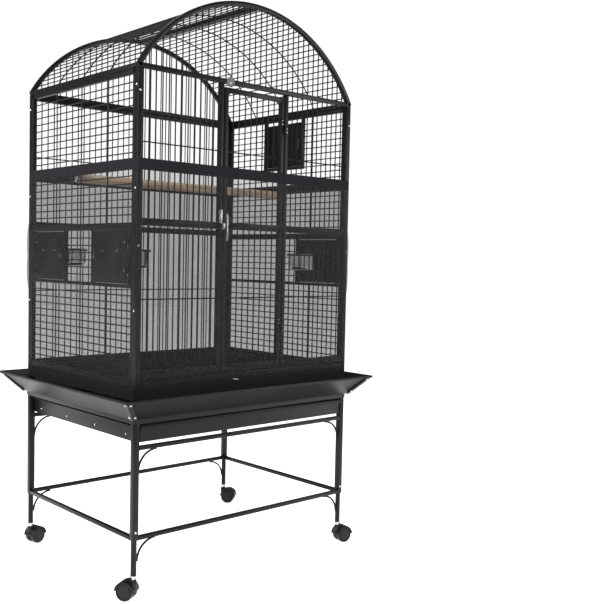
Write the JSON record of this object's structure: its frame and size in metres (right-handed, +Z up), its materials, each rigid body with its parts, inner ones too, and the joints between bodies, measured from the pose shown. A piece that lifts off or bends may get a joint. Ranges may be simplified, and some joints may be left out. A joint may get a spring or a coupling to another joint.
{
  "type": "bird cage",
  "caption": "Floor-standing wire bird cage with a barrel roof, front door, side feeder doors, pull-out tray, seed guards, stretch seed net and castered stand.",
  "frame": {"origin": "the floor under the middle of the cage", "axes": "+Z up, the cage's front with the main door at -Y, its left wall with the two feeder doors at -X"},
  "size_m": [0.9458, 0.7728, 1.6977],
  "materials": {
    "frame_coat": "satin powder coat",
    "sheet_metal": "satin powder coat",
    "cup_steel": "polished",
    "latch_chrome": "polished",
    "caster_plastic": "satin",
    "knob_plastic": "satin",
    "perch_wood": "bare, sanded",
    "net_mesh": "see-through stretch mesh",
    "net_elastic": "woven elastic"
  },
  "bodies": {
    "frame": {"base_front_rail": "frame_coat", "front_panel_left": "frame_coat", "front_panel_right": "frame_coat", "latch_keeper": "latch_chrome", "leg_front_left": "frame_coat", "leg_front_right": "frame_coat", "leg_rear_left": "frame_coat", "leg_rear_right": "frame_coat", "low_rail_front": "frame_coat", "low_rail_left": "frame_coat", "low_rail_rear": "frame_coat", "low_rail_right": "frame_coat", "net_band_foot": "net_elastic", "net_band_top": "net_elastic", "net_skirt": "net_mesh", "perch": "perch_wood", "rear_panel": "frame_coat", "roof_arch_front": "frame_coat", "roof_arch_rear": "frame_coat", "roof_half_left": "frame_coat", "roof_half_right": "frame_coat", "seed_guard_front": "sheet_metal", "seed_guard_left": "sheet_metal", "seed_guard_rear": "sheet_metal", "seed_guard_right": "sheet_metal", "stand_rail_front": "frame_coat", "stand_rail_left": "frame_coat", "stand_rail_rear": "frame_coat", "stand_rail_right": "frame_coat", "tray_bar_front": "frame_coat", "tray_bar_rear": "frame_coat", "tray_slide_left": "frame_coat", "tray_slide_right": "frame_coat", "wall_left": "frame_coat", "wall_right": "frame_coat"},
    "main_door": {"main_door": "frame_coat"},
    "latch_lever": {"latch_lever": "latch_chrome"},
    "turn_disc": {"turn_disc": "sheet_metal"},
    "feeder_front_left_door": {"feeder_front_left_door": "sheet_metal"},
    "feeder_front_left_knob": {"feeder_front_left_knob": "knob_plastic"},
    "cup_front_left": {"cup_front_left": "cup_steel"},
    "feeder_rear_left_door": {"feeder_rear_left_door": "sheet_metal"},
    "feeder_rear_left_knob": {"feeder_rear_left_knob": "knob_plastic"},
    "cup_rear_left": {"cup_rear_left": "cup_steel"},
    "feeder_front_right_door": {"feeder_front_right_door": "sheet_metal"},
    "feeder_front_right_knob": {"feeder_front_right_knob": "knob_plastic"},
    "cup_front_right": {"cup_front_right": "cup_steel"},
    "nest_door": {"nest_door": "sheet_metal"},
    "nest_knob": {"nest_knob": "knob_plastic"},
    "tray": {"tray": "sheet_metal"},
    "floor_grille": {"floor_grille": "frame_coat"},
    "caster_swivel_front_left": {"caster_swivel_front_left": "caster_plastic"},
    "caster_wheels_front_left": {"caster_wheels_front_left": "caster_plastic"},
    "caster_swivel_rear_left": {"caster_swivel_rear_left": "caster_plastic"},
    "caster_wheels_rear_left": {"caster_wheels_rear_left": "caster_plastic"},
    "caster_swivel_rear_right": {"caster_swivel_rear_right": "caster_plastic"},
    "caster_wheels_rear_right": {"caster_wheels_rear_right": "caster_plastic"},
    "caster_swivel_front_right": {"caster_swivel_front_right": "caster_plastic"},
    "caster_wheels_front_right": {"caster_wheels_front_right": "caster_plastic"}
  },
  "joints": [
    {"name": "main_door_swing", "type": "hinge", "parent": "frame", "child": "main_door", "pos_m": [0.1165, -0.325, 1.03], "axis": [0, 0, 1], "range_deg": [0, 170], "deforming": ["net_skirt", "net_band_top", "net_band_foot"]},
    {"name": "latch_turn", "type": "hinge", "parent": "main_door", "child": "latch_lever", "pos_m": [-0.108, -0.32, 1.035], "axis": [0, 1, 0], "range_deg": [0, 90]},
    {"name": "turn_disc_swing", "type": "hinge", "parent": "frame", "child": "turn_disc", "pos_m": [-0.098, -0.32, 1.452], "axis": [0, 1, 0], "continuous": true},
    {"name": "feeder_front_left_door_swing", "type": "hinge", "parent": "frame", "child": "feeder_front_left_door", "pos_m": [-0.411, -0.27375, 0.942], "axis": [0, 0, 1], "range_deg": [0, 110]},
    {"name": "feeder_front_left_knob_turn", "type": "hinge", "parent": "feeder_front_left_door", "child": "feeder_front_left_knob", "pos_m": [-0.4065, -0.1, 0.942], "axis": [1, 0, 0], "range_deg": [0, 90]},
    {"name": "cup_front_left_lift", "type": "slide", "parent": "feeder_front_left_door", "child": "cup_front_left", "axis": [0, 0, 1], "range_m": [0, 0.06]},
    {"name": "feeder_rear_left_door_swing", "type": "hinge", "parent": "frame", "child": "feeder_rear_left_door", "pos_m": [-0.411, 0.27375, 0.942], "axis": [0, 0, -1], "range_deg": [0, 110]},
    {"name": "feeder_rear_left_knob_turn", "type": "hinge", "parent": "feeder_rear_left_door", "child": "feeder_rear_left_knob", "pos_m": [-0.4065, 0.1, 0.942], "axis": [1, 0, 0], "range_deg": [0, 90]},
    {"name": "cup_rear_left_lift", "type": "slide", "parent": "feeder_rear_left_door", "child": "cup_rear_left", "axis": [0, 0, 1], "range_m": [0, 0.06]},
    {"name": "feeder_front_right_door_swing", "type": "hinge", "parent": "frame", "child": "feeder_front_right_door", "pos_m": [0.411, -0.27375, 0.942], "axis": [0, 0, -1], "range_deg": [0, 110]},
    {"name": "feeder_front_right_knob_turn", "type": "hinge", "parent": "feeder_front_right_door", "child": "feeder_front_right_knob", "pos_m": [0.4065, -0.1, 0.942], "axis": [1, 0, 0], "range_deg": [0, 90]},
    {"name": "cup_front_right_lift", "type": "slide", "parent": "feeder_front_right_door", "child": "cup_front_right", "axis": [0, 0, 1], "range_m": [0, 0.06]},
    {"name": "nest_door_swing", "type": "hinge", "parent": "frame", "child": "nest_door", "pos_m": [0.411, 0.09275, 1.3485], "axis": [0, 0, 1], "range_deg": [0, 110]},
    {"name": "nest_knob_turn", "type": "hinge", "parent": "nest_door", "child": "nest_knob", "pos_m": [0.4065, -0.081, 1.3485], "axis": [1, 0, 0], "range_deg": [0, 90]},
    {"name": "tray_pull", "type": "slide", "parent": "frame", "child": "tray", "axis": [0, -1, 0], "range_m": [0, 0.5]},
    {"name": "floor_grille_pull", "type": "slide", "parent": "frame", "child": "floor_grille", "axis": [0, -1, 0], "range_m": [0, 0.5]},
    {"name": "caster_swivel_front_left_turn", "type": "hinge", "parent": "frame", "child": "caster_swivel_front_left", "pos_m": [-0.3975, -0.311, 0.06], "axis": [0, 0, 1], "continuous": true},
    {"name": "caster_wheels_front_left_spin", "type": "hinge", "parent": "caster_swivel_front_left", "child": "caster_wheels_front_left", "pos_m": [-0.4078, -0.29386, 0.025], "axis": [-0.8572, -0.515, 0], "continuous": true},
    {"name": "caster_swivel_rear_left_turn", "type": "hinge", "parent": "frame", "child": "caster_swivel_rear_left", "pos_m": [-0.3975, 0.311, 0.06], "axis": [0, 0, 1], "continuous": true},
    {"name": "caster_wheels_rear_left_spin", "type": "hinge", "parent": "caster_swivel_rear_left", "child": "caster_wheels_rear_left", "pos_m": [-0.37818, 0.31618, 0.025], "axis": [-0.2588, 0.9659, 0], "continuous": true},
    {"name": "caster_swivel_rear_right_turn", "type": "hinge", "parent": "frame", "child": "caster_swivel_rear_right", "pos_m": [0.3975, 0.311, 0.06], "axis": [0, 0, 1], "continuous": true},
    {"name": "caster_wheels_rear_right_spin", "type": "hinge", "parent": "caster_swivel_rear_right", "child": "caster_wheels_rear_right", "pos_m": [0.40981, 0.29524, 0.025], "axis": [0.788, 0.6157, 0], "continuous": true},
    {"name": "caster_swivel_front_right_turn", "type": "hinge", "parent": "frame", "child": "caster_swivel_front_right", "pos_m": [0.3975, -0.311, 0.06], "axis": [0, 0, 1], "continuous": true},
    {"name": "caster_wheels_front_right_spin", "type": "hinge", "parent": "caster_swivel_front_right", "child": "caster_wheels_front_right", "pos_m": [0.4172, -0.31447, 0.025], "axis": [0.1736, 0.9848, 0], "continuous": true}
  ]
}
